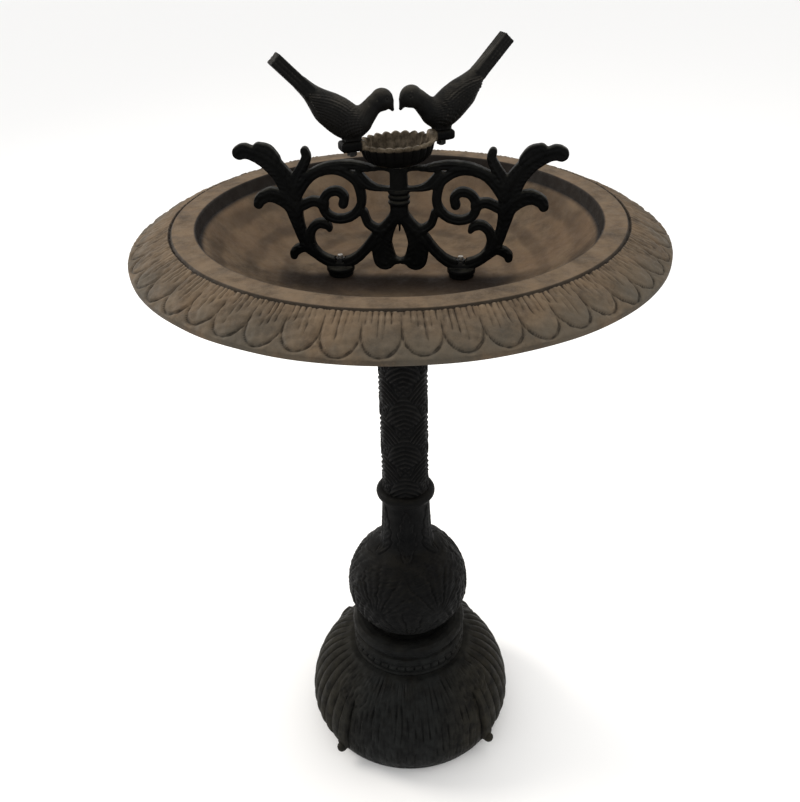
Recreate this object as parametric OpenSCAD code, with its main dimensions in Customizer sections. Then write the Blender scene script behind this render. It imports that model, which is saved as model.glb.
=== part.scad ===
// Cast-iron garden bird bath. A bell-shaped base, a beaded collar, a bulb and a column stand on one
// another around a tie rod and carry a wide, shallow basin with a petal border. A scrollwork frame is
// bolted to the basin's floor and holds a small oval cup, with a bird on a perch at each end.
// Millimetres. The origin is on the ground under the centre, +Z is up, and the frame lies in the XZ plane.

/* [Base] */
// Radius at the widest part of the bell
base_radius = 124; // [115:1:140]
// Radius where the bell meets the ground
base_foot_radius = 112; // [100:1:114]
// Height of the widest part of the bell
base_bulge_height = 30; // [20:1:40]
// Height of the bell
base_height = 110; // [100:1:114]
// Thickness of the bell's wall
base_wall = 6; // [4:0.5:9]
// Turn of the four ribs from the frame's plane, in degrees
base_turn = 54; // [0:0.5:89]

/* [Pedestal] */
// Radius of the bulb
bulb_radius = 71; // [64:1:76]
// Height of the bulb's widest part
bulb_height = 203; // [200:1:206]
// Depth of the bulb's squat lower half
bulb_lower_depth = 60; // [58:1:64]
// Radius of the column
column_radius = 25.7; // [24:0.1:28]
// Height of the ring between the bulb's neck and the column
knop_height = 335.5; // [330:0.5:340]
// Diameter of the tie rod's thread
rod_diameter = 10; // [8:1:12]

/* [Basin] */
// Radius of the basin's outer edge
basin_radius = 250; // [240:1:260]
// Height of the basin's flat band, its highest part
basin_height = 657; // [650:1:664]
// Height of the basin's floor
floor_height = 594; // [590:1:600]
// Thickness of the basin's wall
basin_wall = 6; // [5:0.5:8]
// Number of petals in the border
petal_count = 48; // [36:1:60]

/* [Frame] */
// Depth of the frame, front to back
frame_depth = 10; // [8:1:16]
// Distance of each foot bolt from the centre
foot_offset = 58; // [54:1:62]
// Radius that rounds the corners where scrolls meet
frame_fillet = 1.2; // [0.4:0.2:2]

/* [Cup and birds] */
// Half the length of the cup's rim
cup_half_length = 35.5; // [34:0.5:39]
// Half the width of the cup's rim
cup_half_width = 29; // [24:0.5:32]
// Turn of the cup and birds from the frame's plane, in degrees
cup_turn = 27; // [-45:1:45]
// Distance of each bird's stud from the centre
perch_offset = 43; // [41:1:46]

/* [Hidden] */
$fn = 48;
fit = 0.05;             // running fit and thread clearance, on the radius
gap = 0.3;              // clearance between bodies that move past each other
small = 0.01;           // overlap that makes two shapes one

// Pedestal heights, from the ground up
nub_height = 20;
collar_bottom = base_height;
bulb_foot = collar_bottom + 39;
knop_radius = 6.2;
knop_bottom = knop_height - 6;
knop_top = knop_height + 6;
underside_height = floor_height - basin_wall;
seal_thickness = 2;
column_top = underside_height - seal_thickness - fit;
column_bore = 20;
spigot_radius = 22;
spigot_length = 26;
ledge_height = column_top - 30;
ledge_thickness = 6;
socket_depth = 30;
socket_wall = 8;

// Tie rod, washers and nuts
rod_radius = rod_diameter / 2;
rod_hole = rod_radius + 0.5;
washer_radius = 11;
washer_thickness = 2.5;
nut_radius = 9.8;
nut_height = 8;
rod_bottom = base_height - base_wall - washer_thickness - nut_height - 6;
rod_top = ledge_height + ledge_thickness + washer_thickness + nut_height + 4;

// Basin
groove_radius = basin_radius * 0.84;
mouth_radius = basin_radius * 0.748;
flat_radius = 80;
edge_drop = 22;
wall_drop = 12;

// Frame feet and their hardware
foot_bolt_radius = 2.5;
foot_nut_radius = 4.6;
foot_nut_height = 4;
pad_height = 4.5;
pad_top = floor_height + 2 * pad_height + 4;

// Cup, its screw and the perches
saddle_height = floor_height + 106.2;
spacer_thickness = 1.5;
cup_bottom = saddle_height + spacer_thickness + gap;
cup_depth = 22.3;
cup_wall = 2.6;
cup_screw_radius = 3;
cup_screw_length = 28;
screw_head_radius = 5.2;
screw_head_height = 3;
perch_top = cup_bottom + cup_depth + 4.5;
perch_thickness = 9;
stud_radius = 2.5;
bird_nut_radius = 4.6;
bird_nut_height = 4;

iron = [0.13, 0.13, 0.13];
dark_iron = [0.09, 0.09, 0.10];
worn_iron = [0.24, 0.23, 0.21];
basin_iron = [0.42, 0.36, 0.30];
steel = [0.62, 0.62, 0.60];
rubber = [0.05, 0.05, 0.05];

// ---------------------------------------------------------------- shared shapes

// A round tube standing on z = bottom.
module tube(outer, inner, bottom, top) {
    translate([0, 0, bottom]) difference() {
        cylinder(r = outer, h = top - bottom);
        translate([0, 0, -1]) cylinder(r = inner, h = top - bottom + 2);
    }
}

// A hexagonal nut standing on z = bottom.
module hex_nut(outer, hole, bottom, height) {
    translate([0, 0, bottom]) difference() {
        cylinder(r = outer, h = height, $fn = 6);
        translate([0, 0, -1]) cylinder(r = hole, h = height + 2);
    }
}

// Copies a shape to both ends of the frame.
module both_feet() {
    for (side = [-1, 1]) translate([side * foot_offset, 0, 0]) children();
}

// Turns a shape with the cup.
module on_cup() {
    rotate(cup_turn) children();
}

// ---------------------------------------------------------------- base

// Radius of the bell at a height: a parabola below the bulge and a full shoulder above it.
function bell(z) =
    z < base_bulge_height
        ? base_radius - (base_radius - base_foot_radius) * pow(1 - z / base_bulge_height, 2)
        : 66 + (base_radius - 66)
            * sqrt(max(0, 1 - pow((z - base_bulge_height) / (base_height - base_bulge_height), 1.9)));

// The bell's half section, drawn in by an inset.
module bell_section(inset) {
    steps = 14;
    top = base_height - inset;
    polygon(concat(
        [[0, 0]],
        [for (i = [0:steps]) let (z = top * i / steps) [bell(z * base_height / top) - inset, z]],
        [[0, top]]));
}

module rib() {
    rib_angle = 5;
    rib_height = 4.5;
    rib_length = base_height - 22 - nub_height;
    rotate(-rib_angle / 2) rotate_extrude(angle = rib_angle) intersection() {
        difference() {
            bell_section(-rib_height);
            bell_section(base_wall / 2);
        }
        translate([58, nub_height]) square([100, rib_length]);
    }
}

module base() {
    nub_radius = 6;
    nub_reach = bell(nub_height) + 3.5;
    color(iron) difference() {
        union() {
            rotate_extrude() difference() {
                bell_section(0);
                bell_section(base_wall);
                translate([0, -1]) square([base_foot_radius - base_wall, 1 + small]);
            }
            for (i = [0:3]) rotate(base_turn + 90 * i) {
                rib();
                translate([nub_reach, 0, nub_height]) sphere(r = nub_radius);
            }
        }
        translate([0, 0, base_height / 2]) cylinder(r = rod_hole, h = base_height);
    }
}

// ---------------------------------------------------------------- pedestal

// Drum with a row of beads, a plain moulding and a round rim, dished on top where the bulb stands.
module base_collar() {
    bead_count = 40;
    bead_radius = 3.2;
    bead_reach = 65;
    bead_height = 9.5;
    drum = [[67, 0], [67, 2], [65.5, 3], [65.5, 14], [67, 16], [67, 21], [65.5, 23], [62.5, 24], [62.5, 28]];
    rim = [[65.5, 29.5], [67.5, 32], [68, 35], [67, 38.5], [63.5, 41.3], [58, 42]];
    dish = [[51, 40.5], [45, 37], [41, 34], [32, 33], [33, bulb_foot - collar_bottom]];
    color(dark_iron) translate([0, 0, collar_bottom]) difference() {
        union() {
            rotate_extrude() polygon(concat([[0, 0]], drum, rim, dish, [[0, bulb_foot - collar_bottom]]));
            for (i = [0:bead_count - 1]) rotate(360 * i / bead_count)
                translate([bead_reach, 0, bead_height]) sphere(r = bead_radius);
        }
        translate([0, 0, -1]) cylinder(r = rod_hole, h = 45);
    }
}

// Half section of the bulb, a quarter circle over a squatter quarter ellipse, drawn in by an inset.
module bulb_section(inset) {
    steps = 16;
    round = bulb_radius - inset;
    polygon(concat(
        [[0, -bulb_lower_depth + inset]],
        [for (i = [1:steps]) let (a = -90 + 90 * i / steps) [round * cos(a), (bulb_lower_depth - inset) * sin(a)]],
        [for (i = [1:steps]) let (a = 90 * i / steps) [round * cos(a), round * sin(a)]]));
}

// Hollow bulb with a long tapering neck, open at the top for the column's spigot.
module bulb() {
    shell = 7;
    neck_base_radius = 30.5;
    neck_bottom = bulb_height + sqrt(pow(bulb_radius, 2) - pow(neck_base_radius, 2));
    neck_top_radius = 27.5;
    color(iron) difference() {
        union() {
            intersection() {
                translate([0, 0, bulb_height]) rotate_extrude() bulb_section(0);
                translate([0, 0, bulb_foot]) cylinder(r = 100, h = 200);
            }
            translate([0, 0, neck_bottom - 1])
                cylinder(r1 = neck_base_radius, r2 = neck_top_radius, h = knop_bottom - neck_bottom + 1);
        }
        intersection() {
            translate([0, 0, bulb_height]) rotate_extrude() bulb_section(shell);
            translate([0, 0, bulb_foot + shell]) cylinder(r = 100, h = 200);
        }
        translate([0, 0, bulb_height]) cylinder(r = spigot_radius - 1, h = 200);
        translate([0, 0, knop_top - spigot_length - 2]) cylinder(r = spigot_radius + fit, h = 60);
        translate([0, 0, bulb_foot - 1]) cylinder(r = rod_hole, h = 40);
    }
}

module knop_ring() {
    color(dark_iron) rotate_extrude() difference() {
        intersection() {
            union() {
                translate([26.5, knop_height]) circle(r = knop_radius);
                translate([0, knop_bottom]) square([27.5, knop_top - knop_bottom]);
            }
            translate([0, knop_bottom]) square([60, knop_top - knop_bottom]);
        }
        translate([-1, 0]) square([spigot_radius + fit + 1, 1000]);
    }
}

// Column tube: a spigot below, and a ledge near the top that the tie rod's nut pulls on.
module column() {
    color(iron) difference() {
        union() {
            translate([0, 0, knop_top]) cylinder(r = column_radius, h = column_top - knop_top);
            translate([0, 0, knop_top - spigot_length]) cylinder(r = spigot_radius, h = spigot_length + 1);
        }
        translate([0, 0, knop_top - spigot_length - 1])
            cylinder(r = spigot_radius - 5, h = spigot_length + 1 + ledge_height - knop_top);
        translate([0, 0, ledge_height - 1]) cylinder(r = rod_hole, h = 20);
        translate([0, 0, ledge_height + ledge_thickness]) cylinder(r = column_bore, h = 60);
    }
}

module tie_rod() {
    color(steel) translate([0, 0, rod_bottom]) cylinder(r = rod_radius, h = rod_top - rod_bottom);
}

module tie_washers() {
    color(steel) {
        tube(washer_radius, rod_radius + fit, base_height - base_wall - washer_thickness, base_height - base_wall);
        tube(washer_radius, rod_radius + fit, ledge_height + ledge_thickness,
             ledge_height + ledge_thickness + washer_thickness);
    }
}

module tie_nuts() {
    color(steel) {
        hex_nut(nut_radius, rod_radius + fit,
                base_height - base_wall - washer_thickness - nut_height, nut_height);
        hex_nut(nut_radius, rod_radius + fit,
                ledge_height + ledge_thickness + washer_thickness, nut_height);
    }
}

// Rubber ring on top of the column, under the basin.
module column_seal() {
    color(rubber) tube(column_radius - 0.4, column_bore, column_top, column_top + seal_thickness);
}

// ---------------------------------------------------------------- basin

// Height of the bowl's inner face at a radius outside the flat floor.
function bowl(r) =
    let (run = mouth_radius - 4 - flat_radius)
    let (rise = basin_height - wall_drop - floor_height)
    let (arc = (run * run + rise * rise) / (2 * rise))
    floor_height + arc - sqrt(arc * arc - pow(r - flat_radius, 2));

// The basin's half section: bowl, undercut mouth, flat band, sloping border, and the underside.
module basin_section() {
    steps = 12;
    bowl_end = mouth_radius - 4;
    inside = [for (i = [0:steps]) let (r = flat_radius + (bowl_end - flat_radius) * i / steps) [r, bowl(r)]];
    outside = [for (i = [0:steps]) let (r = flat_radius + (bowl_end - flat_radius) * (1 - i / steps))
        [r + basin_wall * 0.6, bowl(r) - basin_wall]];
    polygon(concat(
        [[0, floor_height]],
        inside,
        [[mouth_radius - 2, basin_height - wall_drop], [mouth_radius, basin_height - 1],
         [mouth_radius + 1, basin_height], [groove_radius - 1, basin_height],
         [groove_radius, basin_height - 1.6], [groove_radius + 1, basin_height - 0.4],
         [basin_radius - 3, basin_height - edge_drop + 2], [basin_radius, basin_height - edge_drop],
         [basin_radius, basin_height - edge_drop - 4], [basin_radius - 4, basin_height - edge_drop - 5],
         [groove_radius, basin_height - basin_wall - 1]],
        outside,
        [[0, underside_height]]));
}

// Shallow cuts between the petals of the border.
module petal_grooves() {
    slope = atan2(edge_drop - 2, basin_radius - 3 - groove_radius);
    start = groove_radius + 5;
    length = (basin_radius - groove_radius) * 0.72;
    for (i = [0:petal_count - 1]) rotate(360 * (i + 0.5) / petal_count)
        translate([start, 0, basin_height - 0.4 - (start - groove_radius) * tan(slope)])
            rotate([0, slope, 0]) translate([0, -0.6, -1.1]) cube([length, 1.2, 3]);
}

module basin() {
    color(basin_iron) difference() {
        union() {
            rotate_extrude() basin_section();
            translate([0, 0, underside_height - socket_depth])
                cylinder(r = column_radius + socket_wall, h = socket_depth + 1);
        }
        petal_grooves();
        translate([0, 0, underside_height - socket_depth - 1])
            cylinder(r = column_radius + fit, h = socket_depth + 1);
        both_feet() translate([0, 0, underside_height - 1])
            cylinder(r = foot_bolt_radius + fit, h = basin_wall + 2);
    }
}

// ---------------------------------------------------------------- scroll frame

// A limb is a list of [x, height above the floor, half width], smoothed by a spline.
function spline(a, b, c, d, t) =
    0.5 * (2 * b + (c - a) * t + (2 * a - 5 * b + 4 * c - d) * t * t + (3 * b - a - 3 * c + d) * t * t * t);

function smooth(limb, steps) =
    let (last = len(limb) - 1)
    [for (i = [0:last - 1], k = [0:steps - 1])
        spline(limb[max(i - 1, 0)], limb[i], limb[i + 1], limb[min(i + 2, last)], k / steps), limb[last]];

// One edge of a smoothed limb; side is 1 or -1.
function edge(path, side) =
    [for (i = [0:len(path) - 1])
        let (a = path[max(i - 1, 0)])
        let (b = path[min(i + 1, len(path) - 1)])
        let (run = norm([b[0] - a[0], b[1] - a[1]]))
        [path[i][0] - side * path[i][2] * (b[1] - a[1]) / run,
         path[i][1] + side * path[i][2] * (b[0] - a[0]) / run]];

function reversed(list) = [for (i = [len(list) - 1:-1:0]) list[i]];

module limb(points, steps = 3) {
    path = smooth(points, steps);
    polygon(concat(edge(path, 1), reversed(edge(path, -1))));
    for (end = [path[0], path[len(path) - 1]])
        translate([end[0], end[1]]) circle(r = end[2], $fn = 16);
}

// Limbs of the right half; the left half is their mirror image.
outer_stem = [[84, 24, 4.5], [91, 33, 5], [95, 46, 5.5], [98, 60, 7], [100, 74, 8.8], [103, 88, 9.5],
              [109, 99, 8.8], [118, 109, 8.2], [127, 115, 7.4], [135, 118, 6.4], [141, 119.6, 6.9],
              [145.5, 118.3, 6.5]];
leaf_crest = [[113.5, 112.5, 5.5], [120, 118.5, 7], [127, 121, 6.5]];
volute = [[52, 71, 4.6], [51, 78, 4.3], [57, 83, 4.2], [65, 81, 4.3], [70, 75, 4.5], [71, 67, 4.4],
          [66, 59, 4.2], [55, 56, 4.2], [43, 60, 4.3], [35.5, 70, 4.4], [35, 81, 4.5], [39, 93, 4.6],
          [50, 101, 4.6], [62, 103.5, 4.6], [76, 100, 4.8], [86, 92, 5], [95, 80, 5.5]];
top_bar = [[28, 105.5, 2.8], [40, 107.5, 3.8], [54, 107.5, 4], [68, 105, 4], [82, 98, 4]];
cradle = [[0, 100, 4.5], [7, 103.5, 2.2], [15, 105, 2], [24, 104.5, 2.4], [34, 105, 3.4]];
lower_brace = [[37, 98, 5], [29, 90, 4.5], [21, 86.6, 2.9], [12, 85.6, 2], [0, 85, 3]];
upright_leaf = [[97, 90, 6], [92, 99, 5.2], [87, 107, 4.9], [83.8, 114.5, 4.4], [85, 120, 3.8]];
side_leaf = [[97, 62, 5.5], [105, 71.5, 6.5], [113.5, 77.3, 7], [122, 78.4, 6.4], [129.5, 75, 5.8],
             [132.5, 70, 4.6]];
side_crest = [[115, 79, 5.5], [120, 80, 5.6]];
volute_link = [[70, 70, 4.2], [80, 73, 4.6], [92, 68, 4.6]];
heart_leaf = [[66, 46, 2.4], [69, 50, 4], [76, 51.5, 4.4], [83, 46, 4.4], [86, 36, 4.6], [83, 25, 4.8],
              [75, 17, 5], [64, 12.5, 5.4], [52, 12.5, 5.4], [41, 18, 5], [31, 28, 4.8], [22, 40, 5],
              [12, 50, 5], [4, 58, 5]];
hook = [[33, 63, 3.8], [29, 52, 4], [19, 46.5, 4.2], [10, 52, 4.6], [3, 62, 5.5]];
bottom_leaf = [[82, 22.5, 4.8], [90, 27.3, 4.6], [97, 26, 4.6], [101.5, 22.5, 4.6], [102.5, 19, 3.8]];
fleur_petal = [[5.5, 54, 4.5], [11.5, 43.5, 6.3], [16, 33, 8.8], [16, 24, 10.5], [14.5, 17, 10.8]];
petal_tie = [[0, 14.8, 2], [6, 15.5, 4]];
centre_stem = [[0, 58, 5.5], [0, 64, 7.5], [0, 76, 8.3], [0, 90, 7.8], [0, 100, 7.5]];

module right_half() {
    limb(outer_stem);
    limb(volute);
    limb(top_bar);
    limb(cradle);
    limb(lower_brace);
    limb(leaf_crest);
    limb(upright_leaf);
    limb(side_leaf);
    limb(side_crest);
    limb(volute_link);
    limb(heart_leaf);
    limb(hook);
    limb(bottom_leaf);
    limb(fleur_petal);
    limb(petal_tie);
}

module frame_outline() {
    offset(r = -frame_fillet, $fn = 12) offset(r = frame_fillet, $fn = 12) {
        right_half();
        mirror([1, 0]) right_half();
        limb(centre_stem);
    }
}

module scroll_frame() {
    pad_radius = 13.5;
    saddle_radius = 7.5;
    band_radius = 10;
    lowest_band = floor_height + 71;
    color(dark_iron) difference() {
        union() {
            translate([0, frame_depth / 2, floor_height]) rotate([90, 0, 0])
                linear_extrude(frame_depth) frame_outline();
            both_feet() translate([0, 0, floor_height]) {
                cylinder(r = pad_radius - 1.5, h = pad_height);
                translate([0, 0, pad_height]) cylinder(r = pad_radius, h = pad_height);
            }
            translate([0, 0, lowest_band]) cylinder(r = saddle_radius, h = saddle_height - lowest_band);
            for (band = [0:2])
                translate([0, 0, lowest_band + 5 * band]) cylinder(r = band_radius, h = 4);
        }
        both_feet() {
            translate([0, 0, floor_height - 1]) cylinder(r = foot_bolt_radius + fit, h = 30);
            translate([0, 0, pad_top]) cylinder(r = foot_nut_radius + 0.8, h = 12);
        }
        translate([0, 0, saddle_height]) cylinder(r = 9, h = 8);
        translate([0, 0, saddle_height - cup_screw_length]) cylinder(r = cup_screw_radius + fit, h = 40);
    }
}

// Hex-headed bolts from under the basin, up through the frame's feet.
module foot_bolts() {
    head_height = 4;
    head_top = underside_height - seal_thickness - 1.5;
    bolt_top = pad_top + foot_nut_height + 3;
    color(steel) both_feet() {
        translate([0, 0, head_top - small]) cylinder(r = foot_bolt_radius, h = bolt_top - head_top);
        translate([0, 0, head_top - head_height]) cylinder(r = foot_nut_radius, h = head_height, $fn = 6);
    }
}

module foot_seals() {
    color(rubber) both_feet()
        tube(8, foot_bolt_radius + fit, underside_height - seal_thickness, underside_height);
}

module foot_washers() {
    top = underside_height - seal_thickness;
    color(steel) both_feet() tube(8, foot_bolt_radius + fit, top - 1.5, top);
}

module foot_nuts() {
    color(steel) both_feet() hex_nut(foot_nut_radius, foot_bolt_radius + fit, pad_top, foot_nut_height);
}

// ---------------------------------------------------------------- cup

module cup_spacer() {
    color(steel) tube(8, cup_screw_radius + fit, saddle_height, saddle_height + spacer_thickness);
}

// Pan-headed screw that the cup turns on.
module cup_screw() {
    head_bottom = cup_bottom + 7 + gap;
    color(steel) {
        translate([0, 0, saddle_height - cup_screw_length])
            cylinder(r = cup_screw_radius, h = head_bottom + small - saddle_height + cup_screw_length);
        translate([0, 0, head_bottom]) cylinder(r = screw_head_radius, h = screw_head_height);
    }
}

// Half length of the cup, as a share of the rim's, at each height above its foot.
cup_profile = [[0, 0.42], [2, 0.64], [5, 0.8], [9, 0.9], [15, 0.96], [cup_depth, 1]];

// Solid with the cup's oval outline, drawn in by an inset.
module cup_body(inset, bottom, top) {
    hull() for (p = cup_profile) if (p[0] >= bottom && p[0] <= top)
        translate([0, 0, p[0] + inset * 0.6])
            resize([2 * (cup_half_length * p[1] - inset), 2 * (cup_half_width * p[1] - inset), small * 10])
                cylinder(r = 10, h = small * 10, $fn = 64);
}

module perch() {
    arm = perch_offset + 11;
    translate([0, 0, perch_top - perch_thickness]) difference() {
        translate([cup_half_length - 5, -8, 0]) cube([arm - cup_half_length + 5, 16, perch_thickness]);
        translate([perch_offset, 0, -1]) cylinder(r = stud_radius + fit, h = perch_thickness + 2);
    }
}

module cup() {
    color(worn_iron) on_cup() {
        difference() {
            union() {
                translate([0, 0, cup_bottom]) cup_body(0, 0, cup_depth);
                for (turn = [0, 180]) rotate(turn) perch();
                translate([0, 0, cup_bottom]) cylinder(r = 6, h = 7);
            }
            difference() {
                translate([0, 0, cup_bottom]) cup_body(cup_wall, 2, cup_depth);
                translate([0, 0, cup_bottom]) cylinder(r = 6, h = 7);
            }
            translate([0, 0, cup_bottom + cup_depth]) linear_extrude(20)
                resize([2 * (cup_half_length - cup_wall), 2 * (cup_half_width - cup_wall)]) circle(r = 10);
            translate([0, 0, cup_bottom - 1]) cylinder(r = cup_screw_radius + 0.08, h = 20);
            translate([0, 0, cup_bottom + 7]) cylinder(r = screw_head_radius + 1.3, h = 20);
        }
    }
}

// ---------------------------------------------------------------- birds

// A ball squeezed from side to side; x is measured outwards from the cup's centre.
module ball(x, height, radius, squeeze = 0.8) {
    translate([x, 0, floor_height + height]) scale([1, squeeze, 1]) sphere(r = radius, $fn = 28);
}

module bird() {
    stud_depth = 13;
    difference() {
        union() {
            hull() {
                ball(38, 150, 13.5);
                ball(50, 156.5, 17.5);
                ball(66, 166, 13);
            }
            hull() {
                ball(64, 166, 12, 0.8);
                ball(83, 186, 6.8, 1);
            }
            hull() {
                ball(81, 184, 6.8, 1);
                translate([103, 0, floor_height + 208]) rotate([0, 43, 0]) cube([12, 13, 3], center = true);
            }
            hull() {
                ball(36, 152, 12, 0.85);
                ball(23, 163.5, 9);
                ball(13.5, 166.5, 10.2);
            }
            hull() {
                ball(7.5, 164, 5.5);
                ball(3.4, 157.5, 2.2);
            }
            translate([perch_offset - 7, -6, perch_top]) cube([14, 12, 10]);
        }
        translate([perch_offset, 0, perch_top - 1]) cylinder(r = stud_radius + fit, h = stud_depth + 1);
    }
}

module right_bird() {
    color(worn_iron) on_cup() bird();
}

module left_bird() {
    color(worn_iron) on_cup() rotate(180) bird();
}

// Threaded studs that hold the birds on the perches, with a nut under each.
module bird_studs() {
    length = 12 + perch_thickness + bird_nut_height + 1;
    color(steel) on_cup() for (turn = [0, 180]) rotate(turn)
        translate([perch_offset, 0, perch_top + 12 - length]) cylinder(r = stud_radius, h = length);
}

module bird_nuts() {
    color(steel) on_cup() for (turn = [0, 180]) rotate(turn) translate([perch_offset, 0, 0])
        hex_nut(bird_nut_radius, stud_radius + fit, perch_top - perch_thickness - bird_nut_height,
                bird_nut_height);
}

base();
base_collar();
bulb();
knop_ring();
column();
tie_rod();
tie_washers();
tie_nuts();
column_seal();
basin();
scroll_frame();
foot_bolts();
foot_seals();
foot_washers();
foot_nuts();
cup_spacer();
cup_screw();
cup();
left_bird();
right_bird();
bird_studs();
bird_nuts();
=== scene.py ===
"""Looks for a cast-iron bird bath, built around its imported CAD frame.

Shapes are worked out in millimetres and turned into metres when a mesh is made. Turned castings are
profiles swept about Z with their ornament pushed out along the surface. The scroll frame, the birds and
the cup's lugs are carved as distance fields, which are negative inside the iron, and then meshed.
"""

import math

import bpy
import numpy as np
import openvdb
from mathutils import Matrix, Vector


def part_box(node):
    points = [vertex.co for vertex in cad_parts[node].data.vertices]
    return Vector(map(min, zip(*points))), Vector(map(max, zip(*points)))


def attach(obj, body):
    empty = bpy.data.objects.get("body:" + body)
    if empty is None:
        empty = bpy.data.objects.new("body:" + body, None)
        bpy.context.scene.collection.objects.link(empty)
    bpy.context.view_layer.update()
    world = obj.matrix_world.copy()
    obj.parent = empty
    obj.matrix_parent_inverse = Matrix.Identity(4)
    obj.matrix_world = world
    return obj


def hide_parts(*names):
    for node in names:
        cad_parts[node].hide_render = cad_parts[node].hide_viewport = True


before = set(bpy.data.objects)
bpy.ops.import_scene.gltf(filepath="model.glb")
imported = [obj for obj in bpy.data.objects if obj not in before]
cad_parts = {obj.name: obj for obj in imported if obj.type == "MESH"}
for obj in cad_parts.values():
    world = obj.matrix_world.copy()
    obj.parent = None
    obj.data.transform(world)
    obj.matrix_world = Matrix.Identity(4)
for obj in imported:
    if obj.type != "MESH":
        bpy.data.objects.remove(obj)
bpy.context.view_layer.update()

MM = 0.001
TURN = 2 * math.pi


# -------- sizes, most of them read from the frame


def low(node):
    """Lowest corner of a CAD node, in millimetres."""
    return np.array(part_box(node)[0]) / MM


def high(node):
    """Highest corner of a CAD node, in millimetres."""
    return np.array(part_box(node)[1]) / MM


BASE_HEIGHT = high("base")[2]
BULB_FOOT = low("bulb")[2]
KNOP_BOTTOM = low("knop_ring")[2]
KNOP_TOP = high("knop_ring")[2]
BULB_RADIUS = high("bulb")[0]
BULB_CENTRE = 203.0
BULB_LOWER_DEPTH = 60.0
COLUMN_RADIUS = high("column")[0]
COLUMN_TOP = high("column")[2]
SPIGOT_RADIUS = 22.0
BASIN_RADIUS = high("basin")[0]
GROOVE_RADIUS = BASIN_RADIUS * 0.84
MOUTH_RADIUS = BASIN_RADIUS * 0.748
BASIN_HEIGHT = high("basin")[2]
BASIN_BOTTOM = low("basin")[2]
FLOOR_HEIGHT = low("scroll_frame")[2]
FRAME_HALF_DEPTH = 5.0
SADDLE_HEIGHT = low("cup_spacer")[2]
CUP_BOTTOM = low("cup")[2]
PERCH_TOP = high("cup")[2]
CUP_HALF_LENGTH = 35.5

# Angles about Z from +X: the cup's long side, the first rib of the base, and the way to the camera.
CUP_TURN = math.radians(27)
BASE_TURN = math.radians(54)
FRONT = math.radians(-84)


# -------- number helpers


def ease(low_edge, high_edge, x):
    """Smooth step from 0 at low_edge to 1 at high_edge."""
    t = np.clip((x - low_edge) / (high_edge - low_edge), 0, 1)
    return t * t * (3 - 2 * t)


def ridge(distance, width):
    """A rounded ridge, 1 on its line and near 0 beyond its width."""
    return np.exp(-((distance / width) ** 2))


def cell(x):
    """Position inside a repeating cell of length 1, from -0.5 to 0.5."""
    return x - np.round(x)


def jitter(index, seed):
    """A steady pseudo-random number from 0 to 1 for each whole index."""
    return np.modf(np.abs(np.sin(index * 12.9898 + seed * 78.233)) * 43758.5453)[0]


def waves(x, y, seed, count=9, scale=1.0):
    """Smooth irregular variation between about -1 and 1, as a sum of seeded waves."""
    rng = np.random.default_rng(seed)
    total = np.zeros(np.broadcast(x, y).shape)
    for _ in range(count):
        direction = rng.uniform(0, TURN)
        pitch = rng.uniform(0.6, 1.6) * scale
        phase = rng.uniform(0, TURN)
        total += np.sin((x * math.cos(direction) + y * math.sin(direction)) * TURN / pitch + phase)
    return total / math.sqrt(count)


def blend_min(a, b, radius):
    """Union of two distance fields with a fillet of about that radius."""
    h = np.clip(0.5 + 0.5 * (b - a) / radius, 0, 1)
    return b + (a - b) * h - radius * h * (1 - h)


# -------- mesh helpers


def place(name, shape, material, body, node):
    """Makes a smooth-shaded piece and puts it on its body in place of its CAD node.

    shape has the vertices in millimetres, and the faces.
    """
    vertices, faces = shape
    mesh = bpy.data.meshes.new(name)
    mesh.from_pydata((np.asarray(vertices) * MM).tolist(), [], [list(face) for face in faces])
    mesh.validate()
    mesh.shade_smooth()
    mesh.materials.append(material)
    piece = bpy.data.objects.new(name, mesh)
    bpy.context.scene.collection.objects.link(piece)
    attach(piece, body)
    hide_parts(node)


def outline(corners, rounding=1.0):
    """Rows of (radius, height) along corners of (radius, height, spacing of the rows that follow)."""
    points = np.array([c[:2] for c in corners], float)
    steps = np.roll(points, -1, 0) - points
    lengths = np.linalg.norm(steps, axis=1)
    ahead = steps / lengths[:, None]
    behind = np.roll(ahead, 1, 0)
    sharp = (ahead * behind).sum(1) < 0.96
    room = 0.45 * np.minimum(lengths, np.roll(lengths, 1))
    reach = np.where(sharp, np.minimum(rounding, room), 0.0)
    rows = []
    for i, here in enumerate(points):
        start = here - behind[i] * reach[i]
        end = here + ahead[i] * reach[i]
        if sharp[i]:
            for t in (0, 0.33, 0.67):
                rows.append((1 - t) ** 2 * start + 2 * t * (1 - t) * here + t * t * end)
        far = (i + 1) % len(points)
        stop = points[far] - ahead[i] * reach[far]
        count = max(1, int(np.linalg.norm(stop - end) / corners[i][2]))
        for k in range(count):
            rows.append(end + (stop - end) * k / count)
    return np.array(rows)


def ring_faces(rows, columns, closed=True):
    """Quads between rows of points that each go round; closed joins the last row to the first."""
    row = np.arange(rows if closed else rows - 1)[:, None]
    column = np.arange(columns)[None, :]
    next_row = (row + 1) % rows
    next_column = (column + 1) % columns
    faces = np.stack([row * columns + column, row * columns + next_column,
                      next_row * columns + next_column, next_row * columns + column], -1)
    return faces.reshape(-1, 4)


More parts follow.
